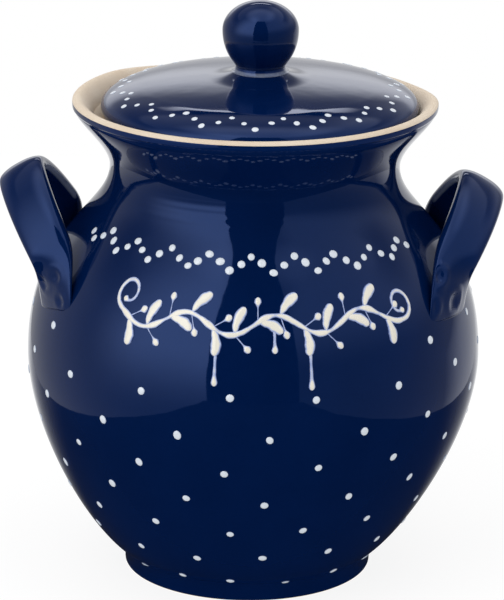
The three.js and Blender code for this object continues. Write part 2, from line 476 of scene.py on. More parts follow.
# Sockets of a Mix node that mixes colours
MIX_SHARE = 0
MIX_FIRST = 6
MIX_SECOND = 7
MIX_RESULT = 2

# Kinds of group socket
COLOUR = "NodeSocketColor"
VALUE = "NodeSocketFloat"


def feed(tree, socket, value):
    """Links another node's output to a socket, or sets a plain value on it."""
    if isinstance(value, bpy.types.NodeSocket):
        tree.links.new(value, socket)
    else:
        socket.default_value = value


def set_inputs(tree, node, **inputs):
    """Feeds a node's sockets by name, with _ for a space."""
    for name, value in inputs.items():
        feed(tree, node.inputs[name.replace("_", " ")], value)


def add_node(tree, kind, settings=None, **inputs):
    made = tree.nodes.new(kind)
    for name, value in (settings or {}).items():
        setattr(made, name, value)
    set_inputs(tree, made, **inputs)
    return made


def math_node(tree, operation, first, second=0.0, third=0.0, clamp=False):
    made = add_node(tree, "ShaderNodeMath", {"operation": operation, "use_clamp": clamp})
    for socket, value in zip(made.inputs, (first, second, third)):
        feed(tree, socket, value)
    return made.outputs[0]


def mix_colour(tree, share, first, second):
    made = add_node(tree, "ShaderNodeMix", {"data_type": "RGBA"})
    feed(tree, made.inputs[MIX_SHARE], share)
    feed(tree, made.inputs[MIX_FIRST], first)
    feed(tree, made.inputs[MIX_SECOND], second)
    return made.outputs[MIX_RESULT]


def ramp(tree, value, low, high):
    """0 at the low value and 1 at the high one, eased between."""
    return add_node(tree, "ShaderNodeMapRange", {"interpolation_type": "SMOOTHSTEP"},
                    Value=value, From_Min=low, From_Max=high).outputs["Result"]


def product(tree, parts):
    result = parts[0]
    for part in parts[1:]:
        result = math_node(tree, "MULTIPLY", result, part)
    return result


def object_place(tree):
    return tree.nodes.new("ShaderNodeTexCoord").outputs["Object"]


def noise(tree, place, pattern):
    return add_node(tree, "ShaderNodeTexNoise", Vector=place, **pattern).outputs["Fac"]


def attribute(tree, name):
    return add_node(tree, "ShaderNodeAttribute", {"attribute_name": name}).outputs["Fac"]


def new_material(name):
    material = bpy.data.materials.new(name)
    material.use_nodes = True
    tree = material.node_tree
    return material, tree, tree.nodes["Principled BSDF"]


def new_group(name, inputs, outputs):
    """A node group with named sockets and nothing in it yet, and the sockets that give its inputs."""
    group = bpy.data.node_groups.new(name, "ShaderNodeTree")
    for direction, sockets in (("INPUT", inputs), ("OUTPUT", outputs)):
        for label, kind in sockets.items():
            group.interface.new_socket(label, in_out=direction, socket_type=kind)
    return group, group.nodes.new("NodeGroupInput").outputs


# Shared surface effects

def glaze_pooling_group():
    """Colour, roughness and ripple of a poured glaze: darker where it pools, lighter where it runs thin,
    and pale grey-blue where it breaks over an edge and where a highlight is painted.
    """
    group, given = new_group(
        "glaze_pooling",
        {"Thick Colour": COLOUR, "Thin Colour": COLOUR, "Broken Colour": COLOUR, "Thinness": VALUE},
        {"Colour": COLOUR, "Roughness": VALUE, "Height": VALUE})
    place = object_place(group)
    cloud = noise(group, place, GLAZE_CLOUD)
    speck = noise(group, place, GLAZE_SPECK)
    ripple = noise(group, place, GLAZE_RIPPLE)
    drift = math_node(group, "MULTIPLY_ADD", cloud, *GLAZE_DRIFT)
    grain = math_node(group, "MULTIPLY_ADD", speck, *GLAZE_GRAIN)
    share = math_node(group, "ADD", given["Thinness"], drift)
    share = math_node(group, "ADD", share, grain)
    thin = math_node(group, "MINIMUM", share, 1.0, clamp=True)
    # A share above 1 turns the colour to the break colour: glaze break and painted highlight
    break_and_highlight = math_node(group, "SUBTRACT", share, 1.0, clamp=True)
    colour = mix_colour(group, thin, given["Thick Colour"], given["Thin Colour"])
    colour = mix_colour(group, break_and_highlight, colour, given["Broken Colour"])
    roughness = math_node(group, "MULTIPLY_ADD", speck, *GLAZE_ROUGHNESS)
    height = math_node(group, "MULTIPLY_ADD", cloud, GLAZE_CLOUD_HEIGHT, ripple)
    add_node(group, "NodeGroupOutput", Colour=colour, Roughness=roughness, Height=height)
    return group


def slip_fade_group():
    """Colour of trailed slip under glaze: full in the thick middle, blue where its edge runs out."""
    group, given = new_group(
        "slip_fade",
        {"Full Colour": COLOUR, "Shoulder Colour": COLOUR, "Edge Colour": COLOUR},
        {"Colour": COLOUR, "Roughness": VALUE})
    cloud = noise(group, object_place(group), SLIP_CLOUD)
    drift = math_node(group, "MULTIPLY_ADD", cloud, *SLIP_DRIFT)
    body = math_node(group, "ADD", attribute(group, "slip_body"), drift)
    near = ramp(group, body, *SLIP_EDGE_FADE)
    far = ramp(group, body, *SLIP_FULL_FADE)
    colour = mix_colour(group, near, given["Edge Colour"], given["Shoulder Colour"])
    colour = mix_colour(group, far, colour, given["Full Colour"])
    roughness = math_node(group, "MULTIPLY_ADD", cloud, *SLIP_ROUGHNESS)
    add_node(group, "NodeGroupOutput", Colour=colour, Roughness=roughness)
    return group


# Materials

def cobalt_glaze(pooling):
    material, tree, shader = new_material("cobalt_glaze")
    # Thinning of the glaze on each piece, with the painted highlights laid in above 1
    thin = attribute(tree, "thin_glaze_and_highlight")
    pool = add_node(tree, "ShaderNodeGroup", {"node_tree": pooling}, Thick_Colour=GLAZE_THICK,
                    Thin_Colour=GLAZE_THIN, Broken_Colour=GLAZE_BREAK_AND_HIGHLIGHT, Thinness=thin).outputs
    bump = add_node(tree, "ShaderNodeBump", Height=pool["Height"], **GLAZE_BUMP)
    set_inputs(tree, shader, Base_Color=pool["Colour"], Roughness=pool["Roughness"],
               Normal=bump.outputs["Normal"], IOR=GLAZE_IOR, Specular_Tint=GLAZE_SHEEN)
    return material


def bare_stoneware():
    material, tree, shader = new_material("bare_stoneware")
    place = object_place(tree)
    cloud = noise(tree, place, CLAY_CLOUD)
    grain = noise(tree, place, CLAY_GRAIN)
    iron = add_node(tree, "ShaderNodeTexVoronoi", Vector=place, Scale=IRON_SCALE).outputs["Distance"]
    speck = add_node(tree, "ShaderNodeMapRange", Value=iron, **IRON_FADE).outputs["Result"]
    tone = mix_colour(tree, cloud, CLAY_DARK, CLAY_PALE)
    tone = mix_colour(tree, speck, tone, CLAY_IRON)
    roughness = math_node(tree, "MULTIPLY_ADD", cloud, *CLAY_ROUGHNESS)
    bump = add_node(tree, "ShaderNodeBump", Height=grain, **CLAY_BUMP)
    set_inputs(tree, shader, Base_Color=tone, Roughness=roughness, Normal=bump.outputs["Normal"])
    return material


def slip(name, fade, full, shoulder, edge):
    material, tree, shader = new_material(name)
    colours = add_node(tree, "ShaderNodeGroup", {"node_tree": fade},
                       Full_Colour=full, Shoulder_Colour=shoulder, Edge_Colour=edge).outputs
    set_inputs(tree, shader, Base_Color=colours["Colour"], Roughness=colours["Roughness"])
    return material


# Shape helpers

def smooth(share):
    """A share from 0 to 1 eased at both ends."""
    share = max(0.0, min(1.0, share))
    return share * share * (3 - 2 * share)


def mix(low, high, share):
    return low + (high - low) * share


def nearness(value, middle, reach):
    """1 at a middle value, falling evenly to 0 at a reach from it."""
    return max(0, 1 - abs(value - middle) / reach)


def wrapped(angle):
    return (angle + pi) % (2 * pi) - pi


def bend(start, start_pull, end_pull, end, steps):
    """Points of a curve in the outline plane that leaves and reaches its ends along the given pulls."""
    first = Vector(start)
    last = Vector(end)
    return interpolate_bezier(first, first + Vector(start_pull), last + Vector(end_pull), last, steps + 1)


def arc(centre, radius_across, radius_up, start, end, steps):
    turns = [start + (end - start) * i / steps for i in range(steps + 1)]
    return [Vector((centre[0] + radius_across * cos(t), centre[1] + radius_up * sin(t))) for t in turns]


def heading(points, i):
    """The direction of a line of points at one of them."""
    return (points[min(i + 1, len(points) - 1)] - points[max(i - 1, 0)]).normalized()


def offset(points, distance):
    """An outline moved sideways, to the left of its direction."""
    moved = []
    for i, here in enumerate(points):
        along = heading(points, i)
        moved.append(here + Vector((-along.y, along.x)) * distance)
    return moved


def spun(outline, steps):
    """A closed piece turned round the Z axis from an outline of radius and height."""
    bm = bmesh.new()
    ring = [bm.verts.new((p.x, 0, p.y)) for p in outline]
    edges = [bm.edges.new(pair) for pair in zip(ring, ring[1:])]
    bmesh.ops.spin(bm, geom=ring + edges, cent=(0, 0, 0), axis=(0, 0, 1), angle=2 * pi, steps=steps,
                   use_merge=True)
    bmesh.ops.remove_doubles(bm, verts=bm.verts, dist=MERGE_DISTANCE)
    bmesh.ops.recalc_face_normals(bm, faces=bm.faces)
    return bm


def sweep(bm, ring, count):
    """Extrudes a ring of verts on and on: gives each ring in turn, then closes both ends."""
    edges = list({e for v in ring for e in v.link_edges})
    first_edges = edges
    for i in range(count):
        if i:
            grown = bmesh.ops.extrude_edge_only(bm, edges=edges)["geom"]
            ring = [g for g in grown if isinstance(g, bmesh.types.BMVert)]
            edges = [g for g in grown if isinstance(g, bmesh.types.BMEdge)]
        yield ring
    bmesh.ops.holes_fill(bm, edges=edges)
    bmesh.ops.holes_fill(bm, edges=[e for e in first_edges if e.is_valid])


def thrower_error(spot):
    """How far the thrown pot strays from true: its foot stands to the left and its lip dips behind."""
    lean = FOOT_SHIFT * smooth(1 - spot.z / BELLY_HEIGHT)
    facing = (spot.x * sin(LIP_DIP_ANGLE) - spot.y * cos(LIP_DIP_ANGLE)) / max(FOOT_EDGE, spot.xy.length)
    raised = smooth((spot.z - LEDGE_HEIGHT) / (RIM_HEIGHT - LEDGE_HEIGHT))
    return Vector((lean, 0, -LIP_DIP * raised * smooth((facing - LIP_DIP_START) / LIP_DIP_SPAN)))


def add_piece(name, bm, materials, body, node=None):
    mesh = bpy.data.meshes.new(name)
    for face in bm.faces:
        face.smooth = True
    if body == "pot":
        for vert in bm.verts:
            vert.co += thrower_error(vert.co)
    bm.to_mesh(mesh)
    bm.free()
    for material in materials:
        mesh.materials.append(material)
    piece = link(bpy.data.objects.new(name, mesh))
    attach(piece, body)
    if node:
        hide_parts(node)


# Pot

LOWER_WALL = bend((FOOT_RADIUS, FOOT_HEIGHT), FOOT_PULL, BELLY_PULL_DOWN,
                  (BELLY_RADIUS, BELLY_HEIGHT), LOWER_WALL_STEPS)
SHOULDER = bend((BELLY_RADIUS, BELLY_HEIGHT), BELLY_PULL_UP, NECK_PULL_DOWN,
                (NECK_RADIUS, NECK_HEIGHT), SHOULDER_STEPS)
FLARE = bend((NECK_RADIUS, NECK_HEIGHT), NECK_PULL_UP, RIM_PULL,
             (RIM_RADIUS - RIM_BAND_STEP, RIM_HEIGHT - RIM_BAND), FLARE_STEPS)
OUTSIDE = LOWER_WALL + SHOULDER[1:] + FLARE[1:]
OUTSIDE_HEIGHTS = [p.y for p in OUTSIDE]


def groove_depth(spot):
    """How deep the thrower's fingers cut the neck: deepest at the front left, fading out round it."""
    around = wrapped(atan2(spot.x, -spot.y) - GROOVE_ANGLE)
    cut = sum(max(0, 1 - ((spot.z - z) / GROOVE_WIDTH) ** 2) ** 2 for z in GROOVE_HEIGHTS)
    return GROOVE_DEPTH * cut * smooth(1 - abs(around) / GROOVE_REACH)


def pot_outline():
    """From the middle of the base round the outside, over the lip and down the inside to the floor."""
    foot_corner = arc((FOOT_RADIUS - FOOT_EDGE, FOOT_EDGE), FOOT_EDGE, FOOT_EDGE, -pi / 2, 0, FOOT_STEPS)
    band_foot = RIM_HEIGHT - RIM_BAND
    band = [
        Vector((RIM_RADIUS - BAND_CORNER_DEPTH, band_foot + BAND_CORNER_RISE)),
        Vector((RIM_RADIUS, band_foot + RIM_BAND_STEP)),
    ]
    half = LIP_THICKNESS / 2
    lip = arc((RIM_RADIUS - half, RIM_HEIGHT), half, LIP_CROWN, 0, pi / 2, LIP_STEPS)
    gallery_foot = (GALLERY_RADIUS - GALLERY_SLOPE, LEDGE_HEIGHT)
    gallery = bend(lip[-1], LIP_PULL, GALLERY_PULL, gallery_foot, GALLERY_STEPS)
    ledge = [
        Vector((THROAT_RADIUS + LEDGE_EDGE, LEDGE_HEIGHT)),
        Vector((THROAT_RADIUS, LEDGE_HEIGHT - LEDGE_EDGE)),
    ]
    inside = offset(SHOULDER, WALL)[::-1] + offset(LOWER_WALL, WALL)[::-1][1:]
    lowest = inside[-1]
    floor_edge = (lowest.x - FLOOR_CORNER, FLOOR_THICKNESS)
    corner = bend(lowest, CORNER_WALL_PULL, CORNER_FLOOR_PULL, floor_edge, CORNER_STEPS)
    outer = [Vector((0, 0))] + foot_corner + OUTSIDE + band + lip
    return outer + gallery[1:] + ledge + inside + corner[1:] + [Vector((0, FLOOR_THICKNESS))]


def pot_piece(glaze, clay):
    bm = spun(pot_outline(), POT_TURN_STEPS)
    thin = bm.verts.layers.float.new("thin_glaze_and_highlight")
    for vert in bm.verts:
        if vert.co.xy.length > THROAT_RADIUS + WALL / 2:
            vert.co.xy *= 1 - groove_depth(vert.co) / vert.co.xy.length
        near_rim = nearness(vert.co.z, RIM_HEIGHT - RIM_BAND / 2, RIM_THIN_REACH)
        near_foot = nearness(vert.co.z, FOOT_HEIGHT - FOOT_THIN_DROP, FOOT_THIN_REACH)
        vert[thin] = RIM_THINNING * near_rim + FOOT_THINNING * near_foot
    for face in bm.faces:
        centre = face.calc_center_median()
        outward = face.normal.x * centre.x + face.normal.y * centre.y > 0
        on_seat = centre.z > LEDGE_HEIGHT - BARE_LEDGE_DEPTH and not outward
        on_lip = centre.z > RIM_HEIGHT + BARE_LIP_RISE
        underneath = centre.z < BARE_BASE_RISE
        face.material_index = BARE if on_seat or on_lip or underneath else GLAZED
    add_piece("thrown_pot", bm, [glaze, clay], "pot", "pot_body")


# Lid and knob

def lid_outline():
    """The lid's outline in four stretches: hollow underside, ring, rounded edge and top."""
    edge = bend((LID_RADIUS - LID_EDGE_ROUND, LID_SEAT), LID_SEAT_PULL, LID_EDGE_PULL_DOWN,
                (LID_RADIUS, LID_EDGE_HEIGHT), LID_EDGE_STEPS)
    dome = bend((LID_RADIUS, LID_EDGE_HEIGHT), LID_EDGE_PULL_UP, LID_DOME_PULL,
                (LID_DOME_RADIUS, LID_DOME_TOP), LID_DOME_STEPS)
    top = [p for p in dome if p.x > LID_FILLET_RADIUS]
    fillet = bend(top[-1], LID_FILLET_PULL, LID_CROWN_PULL, (LID_CROWN_RADIUS, LID_CROWN), LID_FILLET_STEPS)
    hollow = bend((0, LID_TOP - LID_THICKNESS), LID_HOLLOW_PULL, LID_RING_PULL,
                  (RING_RADIUS - RING_THICKNESS, LID_SEAT), LID_HOLLOW_STEPS)
    half = RING_THICKNESS / 2
    ring = arc((RING_RADIUS - half, RING_FOOT + half), half, half, pi, 2 * pi, RING_STEPS)
    return hollow, ring, edge, top + fillet[1:]


LID_HOLLOW, LID_RING, LID_EDGE, LID_DOME = lid_outline()
LID_INWARD = [-p.x for p in LID_DOME]


def ridge_rise(spot):
    """Height of the low wandering ridge that the thrower's finger left on the lid, strongest in front."""
    around = atan2(spot.x, -spot.y)
    waves = sin(LID_RIDGE_SLOW_WAVES * around + LID_RIDGE_TURN) + sin(LID_RIDGE_QUICK_WAVES * around)
    middle = LID_RIDGE_RADIUS + LID_RIDGE_WANDER * waves / 2
    strength = mix(LID_RIDGE_BEHIND, 1, smooth(cos(around)))
    return LID_RIDGE_HEIGHT * strength * exp(-((spot.xy.length - middle) / LID_RIDGE_WIDTH) ** 2)


def lid_piece(glaze, clay):
    ring_root = Vector((RING_RADIUS, LID_SEAT))
    middle = Vector((0, LID_CROWN))
    bm = spun(LID_HOLLOW + LID_RING + [ring_root] + LID_EDGE + LID_DOME[1:] + [middle], LID_TURN_STEPS)
    thin = bm.verts.layers.float.new("thin_glaze_and_highlight")
    for vert in bm.verts:
        vert[thin] = LID_THINNING * nearness(vert.co.z, LID_EDGE_HEIGHT + LID_THIN_RISE, LID_THIN_REACH)
        if vert.co.z > LID_EDGE_HEIGHT:
            vert.co.z += ridge_rise(vert.co)
    for face in bm.faces:
        bare = face.calc_center_median().z < LID_SEAT + LID_BARE_RISE
        face.material_index = BARE if bare else GLAZED
    bmesh.ops.translate(bm, verts=bm.verts, vec=(LID_CENTRE, 0, 0))
    add_piece("domed_lid", bm, [glaze, clay], "lid", "lid")


def knob_piece(glaze):
    widest = KNOB_TOP - KNOB_CROWN
    waist = (KNOB_WAIST_RADIUS, KNOB_WAIST_HEIGHT)
    collar = bend((LID_CROWN_RADIUS, KNOB_FOOT), COLLAR_PULL, WAIST_PULL_DOWN, waist, COLLAR_STEPS)
    flank = bend(waist, WAIST_PULL_UP, KNOB_PULL_DOWN, (KNOB_RADIUS, widest), FLANK_STEPS)
    crown = arc((0, widest), KNOB_RADIUS, KNOB_CROWN, 0, pi / 2, CROWN_STEPS)
    bottom = Vector((0, KNOB_FOOT))
    top = Vector((0, widest + KNOB_CROWN))
    bm = spun([bottom] + collar + flank[1:] + crown[1:-1] + [top], KNOB_TURN_STEPS)
    thin = bm.verts.layers.float.new("thin_glaze_and_highlight")
    # Painted highlight: a pale ring just below the waist
    for vert in bm.verts:
        away = abs(vert.co.z - KNOB_WAIST_HEIGHT + WAIST_HIGHLIGHT_DROP) / WAIST_HIGHLIGHT_REACH
        vert[thin] = WAIST_HIGHLIGHT * smooth(WAIST_HIGHLIGHT_FULL - away)
    bmesh.ops.translate(bm, verts=bm.verts, vec=(LID_CENTRE, 0, 0))
    add_piece("ball_knob", bm, [glaze], "lid", "lid_knob")


# Places on the turned surfaces

def station(measures, value):
    """How far along an outline a rising measure of its points reaches a value, in points."""
    i = min(max(bisect_right(measures, value) - 1, 0), len(measures) - 2)
    return i + (value - measures[i]) / (measures[i + 1] - measures[i])


def surface_place(outline, along, angle, centre_x=0.0):
    """A place on a turned surface: X runs round it, Y along the outline and Z out of it."""
    i = min(int(along), len(outline) - 2)
    here = outline[i]
    after = outline[i + 1]
    spot = here.lerp(after, along - i)
    slope = (after - here).normalized()
    outward = Vector((slope.y * sin(angle), -slope.y * cos(angle), -slope.x))
    around = Vector((cos(angle), sin(angle), 0))
    up = outward.cross(around)
    place = Matrix((around, up, outward)).transposed().to_4x4()
    place.translation = (spot.x * sin(angle) + centre_x, -spot.x * cos(angle), spot.y)
    return place


def wall_place(angle, height):
    return surface_place(OUTSIDE, station(OUTSIDE_HEIGHTS, height), angle)


def lid_place(angle, radius):
    return surface_place(LID_DOME, station(LID_INWARD, -radius), angle, LID_CENTRE)


# Strap handles

def arch_rings(rise, section):
    """Sections of a strap's arch from its front leg over to its back one."""
    half = bend((0, rise), (ARCH_TOP_PULL, 0), (-ARCH_LEG_SLOPE, ARCH_LEG_PULL + STRAP_ROOT),
                (HANDLE_HALF_SPAN, -STRAP_ROOT), ARCH_STEPS)
    half = [p for p in half if p.y > STRAP_LEAVES_ARCH]
    path = [Vector((-p.x, p.y)) for p in half[::-1]] + half[1:]
    shoulder_at_foot = wall_place(0, HANDLE_FOOT_HEIGHT).translation.y
    reach = sqrt(shoulder_at_foot ** 2 - HANDLE_HALF_SPAN ** 2)
    upward = Vector((cos(HANDLE_LEAN), 0, sin(HANDLE_LEAN)))
    across = Vector((0, 1, 0))
    broad = across.cross(upward)
    rings = []
    for i, spot in enumerate(path):
        along = heading(path, i)
        outward = across * -along.y + upward * along.x
        centre = Vector((reach, 0, HANDLE_FOOT_HEIGHT)) + across * spot.x + upward * spot.y
        half_width = STRAP_WIDTH / 2 * (1 - STRAP_TAPER * smooth(1 - spot.y / rise))
        ring = []
        for a, b in section:
            crown = 1 + STRAP_CROWN * (1 - a * a) if b > 0 else 1
            ring.append(centre + broad * (a * half_width) + outward * (b * STRAP_THICKNESS / 2 * crown))
        rings.append(ring)
    return rings


def foot_rings(last, before, section, pad, back):
    """The rest of a leg: each line of its skin leaves the arch and runs out on the wall."""
    pad_angle, pad_height, pad_width, fall = pad
    lines = []
    for start, earlier, (a, b) in zip(last, before, section):
        run = a * pad_width / 2
        angle = pad_angle + run / BELLY_RADIUS
        place = wall_place(pi - angle if back else angle, pad_height - fall * run)
        end = place @ Vector((0, 0, (b - 1) * PAD_DEPTH / 2))
        pull = place.to_3x3() @ Vector((0, PAD_PULL, PAD_DIVE))
        leg = (start - earlier).normalized()
        lines.append(interpolate_bezier(start, start + leg * LEG_PULL, end + pull, end, PAD_STEPS + 1)[1:])
    return [list(ring) for ring in zip(*lines)]


def pressed(spot, presses):
    """A place on a foot after the thumb has dished it and raised a low rim round the dish."""
    for angle, height, radius, sink in presses:
        place = wall_place(angle, height)
        away = (place.inverted() @ spot).xy.length / radius
        rim = max(0, 1 - ((away - PRESS_RIM_RADIUS) / PRESS_RIM_WIDTH) ** 2)
        dish = max(0, 1 - away * away) ** 2 - PRESS_RIM_HEIGHT * rim
        spot = spot - place.col[2].xyz * (sink * dish)
    return spot


def strap_thinning_and_highlight(a, b, on_foot):
    """How thin the glaze runs at a place on a strap's section, with the painted highlight along its inner
    edges, so many steps down a foot.
    """
    corner = max(0, abs(a * b) - CORNER_START)
    # Painted highlight line along both inner edges, together with the glaze break there
    from_edge = (abs(a) - INNER_EDGE_ACROSS) ** 2 + (b + INNER_EDGE_DEPTH) ** 2
    inner_edge = smooth(1 - from_edge / INNER_EDGE_SPREAD)
    on_arch = 1 - smooth(on_foot / THINNING_FADE_STEPS)
    return CORNER_THINNING * corner + INNER_BREAK_AND_HIGHLIGHT * inner_edge * on_arch


def strap_piece(name, node, rise, turn, glaze, pad, presses):
    """A flat strap bent into an arch, its feet pressed on to the shoulder with a thumb."""
    bm = bmesh.new()
    thin = bm.verts.layers.float.new("thin_glaze_and_highlight")
    circle = bmesh.ops.create_circle(bm, segments=STRAP_SIDES, radius=1)["verts"]
    section = [[abs(c) ** STRAP_SQUARENESS * (1 if c > 0 else -1) for c in vert.co.xy] for vert in circle]
    arch = arch_rings(rise, section)
    front = foot_rings(arch[0], arch[1], section, pad, False)
    back = foot_rings(arch[-1], arch[-2], section, pad, True)
    rings = front[::-1] + arch + back
    for i, ring in enumerate(sweep(bm, circle, len(rings))):
        on_foot = max(PAD_STEPS - i, i - PAD_STEPS - len(arch) + 1, 0)
        for vert, spot, (a, b) in zip(ring, rings[i], section):
            vert.co = spot
            if on_foot and b > PRESS_LOWEST:
                within = smooth((1 - abs(a)) / PRESS_EDGE_FADE)
                vert.co = spot.lerp(pressed(spot, presses), within)
            vert[thin] = strap_thinning_and_highlight(a, b, on_foot)
    bmesh.ops.rotate(bm, verts=bm.verts, cent=(0, 0, 0), matrix=Matrix.Rotation(turn, 3, "Z"))
    bmesh.ops.recalc_face_normals(bm, faces=bm.faces)
    add_piece(name, bm, [glaze], "pot", node)


# Dots of slip

def dot_shape():
    """One dome of slip of unit size, closed underneath."""
    bm = bmesh.new()
    bmesh.ops.create_uvsphere(bm, u_segments=DOT_SEGMENTS, v_segments=DOT_RINGS, radius=1)
    everything = list(bm.verts) + list(bm.edges) + list(bm.faces)
    bmesh.ops.bisect_plane(bm, geom=everything, plane_co=(0, 0, 0), plane_no=(0, 0, 1), clear_inner=True)
    bmesh.ops.holes_fill(bm, edges=[e for e in bm.edges if e.is_boundary])
    body = bm.verts.layers.float.new("slip_body")
    for vert in bm.verts:
        vert[body] = max(0.0, vert.co.z)
    mesh = bpy.data.meshes.new("dot_shape")
    bm.to_mesh(mesh)
    bm.free()
    return mesh


def dots_piece(name, places, dot_radius, height, material, body, rng, shape):
    bm = bmesh.new()
    sunk = Matrix.Translation((0, 0, -DOT_SINK))
    for place in places:
        before = len(bm.verts)
        bm.from_mesh(shape)
        bm.verts.ensure_lookup_table()
        radius = dot_radius * rng.uniform(*DOT_SIZES)
        stretch = rng.uniform(*DOT_STRETCHES)
        size = Matrix.Diagonal((radius / stretch, radius * stretch, height, 1))
        turn = Matrix.Rotation(rng.uniform(*DOT_TURNS), 4, "Z")
        bmesh.ops.transform(bm, matrix=place @ sunk @ turn @ size, verts=bm.verts[before:])
    add_piece(name, bm, [material], body)


def zigzag(waves, swing, rng):
    """Angle and offset of each dot of a hand-set zigzag."""
    for wave in range(waves):
        for i, level in enumerate(ZIGZAG_LEVELS):
            along = wave + i / len(ZIGZAG_LEVELS) + rng.uniform(-ZIGZAG_DRIFT, ZIGZAG_DRIFT)
            lift = swing * (level + rng.uniform(-ZIGZAG_LIFT_DRIFT, ZIGZAG_LIFT_DRIFT))
            yield along * 2 * pi / waves, lift


def garland_places(rng):
    for angle, lift in zigzag(GARLAND_WAVES, GARLAND_SWING, rng):
        around = wrapped(GARLAND_START + angle)
        clearing = HANDLE_CLEARING_RIGHT if around > 0 else HANDLE_CLEARING_LEFT
        if abs(abs(around) - pi / 2) > clearing:
            yield wall_place(around, GARLAND_HEIGHT + lift - GARLAND_LEAN * sin(around))


def lid_garland_places(rng):
    for angle, lift in zigzag(LID_GARLAND_WAVES, LID_GARLAND_SWING, rng):
        yield lid_place(LID_GARLAND_START + angle, LID_GARLAND_RADIUS - lift)


def belly_places(rng):
    """Dots in columns, every other one half a row higher, with room left for the vine."""
    for column in range(DOT_COLUMNS):
        angle = DOT_COLUMN_START + column * 2 * pi / DOT_COLUMNS
        raised = 0.5 if column % 2 == 0 else 0
        for row in range(DOT_ROWS):
            height = DOT_FIRST_HEIGHT + DOT_ROW_PITCH * (row + raised)
            height += rng.uniform(-DOT_HEIGHT_DRIFT, DOT_HEIGHT_DRIFT)
            lean = rng.uniform(-DOT_ANGLE_DRIFT, DOT_ANGLE_DRIFT)
            if abs(wrapped(angle)) < VINE_CLEARING and height > VINE_CLEARING_HEIGHT:
                continue
            yield wall_place(angle + lean, height)


# Trailed vine

def rounded_ends(line):
    """A trail's spots, widths and bulks with a half-round added at both ends."""
    caps = []
    for (end, width, bulk), inner in ((line[0], line[1]), (line[-1], line[-2])):
        out = (end - inner[0]).normalized() * width / 2
        turns = [pi / 2 * share for share in TRAIL_CAP]
        caps.append([(end + out * sin(turn), width * cos(turn), bulk) for turn in turns])
    return caps[0][::-1] + line + caps[1]


def trail_line(points, widths):
    """Spots, widths and bulks along a smooth line through points, its width given at each of them."""
    line = []
    last = len(points) - 1
    for i in range(last):
        here = points[i]
        after = points[i + 1]
        pull_out = (after - points[max(i - 1, 0)]) / CHORD_TO_PULL
        pull_in = (points[min(i + 2, last)] - here) / CHORD_TO_PULL
        stretch = interpolate_bezier(here, here + pull_out, after - pull_in, after, TRAIL_STEPS + 1)
        for j, spot in enumerate(stretch if i == last - 1 else stretch[:-1]):
            width = mix(widths[i], widths[i + 1], smooth(j / TRAIL_STEPS))
            line.append((spot, width, width))
    return rounded_ends(line)


def trail(bm, body, points, widths):
    """A raised line of slip on the wall through (run, height) points."""
    line = trail_line(points, widths)
    spots = [spot for spot, _, _ in line]
    circle = bmesh.ops.create_circle(bm, segments=TRAIL_SIDES, radius=1)["verts"]
    section = [v.co.xy.copy() for v in circle]
    for i, ring in enumerate(sweep(bm, circle, len(line))):
        spot, width, bulk = line[i]
        along = heading(spots, i)
        side = Vector((along.y, -along.x))
        thick = smooth((bulk - THIN_SLIP) / (THICK_SLIP - THIN_SLIP))
        rounding = sqrt(width / bulk)
        rise = SLIP_LIFT * mix(THIN_SLIP_LIFT, 1, thick) * rounding
        for vert, (a, b) in zip(ring, section):
            on_wall = spot + side * (a * width / 2)
            place = wall_place(on_wall.x / VINE_RADIUS, on_wall.y)
            vert.co = place @ Vector((0, 0, max(b, SLIP_ROOT) * rise))
            fullness = max(0.0, b) ** SLIP_FALLOFF
            vert[body] = fullness * mix(THIN_SLIP_BODY, THICK_SLIP_BODY, thick) * rounding


def vine_spot(run):
    return Vector((run, VINE_HEIGHT + VINE_SWING * sin(2 * pi * run / VINE_WAVE)))


def leaf(bm, body, root, towards):
    """One drop of slip drawn out from the stem, and the spot where it is widest."""
    side = Vector((-towards.y, towards.x)) * LEAF_LENGTH * LEAF_BOW
    spine = [root + towards * LEAF_LENGTH * along + side * sin(pi * along) for along, _ in LEAF_SHAPE]
    trail(bm, body, spine, [LEAF_WIDTH * width for _, width in LEAF_SHAPE])
    return spine[LEAF_WIDEST]


def berry(bm, body, root, middle):
    """A round drop of slip at the end of a thin stalk."""
    stalk_end = root.lerp(middle, STALK_STRAIGHT)
    trail(bm, body, [root, stalk_end, middle], [STALK_ROOT_WIDTH, STALK_WIDTH, BERRY_WIDTH])


def slip_run(bm, body, root, length):
    """Slip that ran down the wall from a leaf and ended in a bulb."""
    below = Vector((0, -length))
    foot = root + below
    spots = [foot - below * share for share, _ in RUN_SHAPE] + [foot]
    trail(bm, body, spots, [RUN_WIDTH * width for _, width in RUN_SHAPE] + [RUN_BULB])


def curl(bm, body, run, hand):
    """A tendril that goes on from an end of the stem and winds in."""
    root = vine_spot(run)
    before = vine_spot(run - hand * CURL_LEAD)
    onward = (root - vine_spot(run - hand * VINE_TANGENT)).normalized()
    inward = Vector((-onward.y, onward.x)) * hand
    middle = root + inward * CURL_RADIUS
    spots = [before]
    widths = []
    for i in range(CURL_POINTS):
        share = i / CURL_POINTS
        radius = CURL_RADIUS * mix(1, CURL_INNERMOST, share)
        angle = CURL_ANGLE * share
        spots.append(middle + (onward * sin(angle) - inward * cos(angle)) * radius)
        widths.append(STEM_WIDTH * mix(CURL_ROOT_WIDTH, CURL_END_WIDTH, share))
    trail(bm, body, spots, widths + [STEM_WIDTH * CURL_TIP_WIDTH])


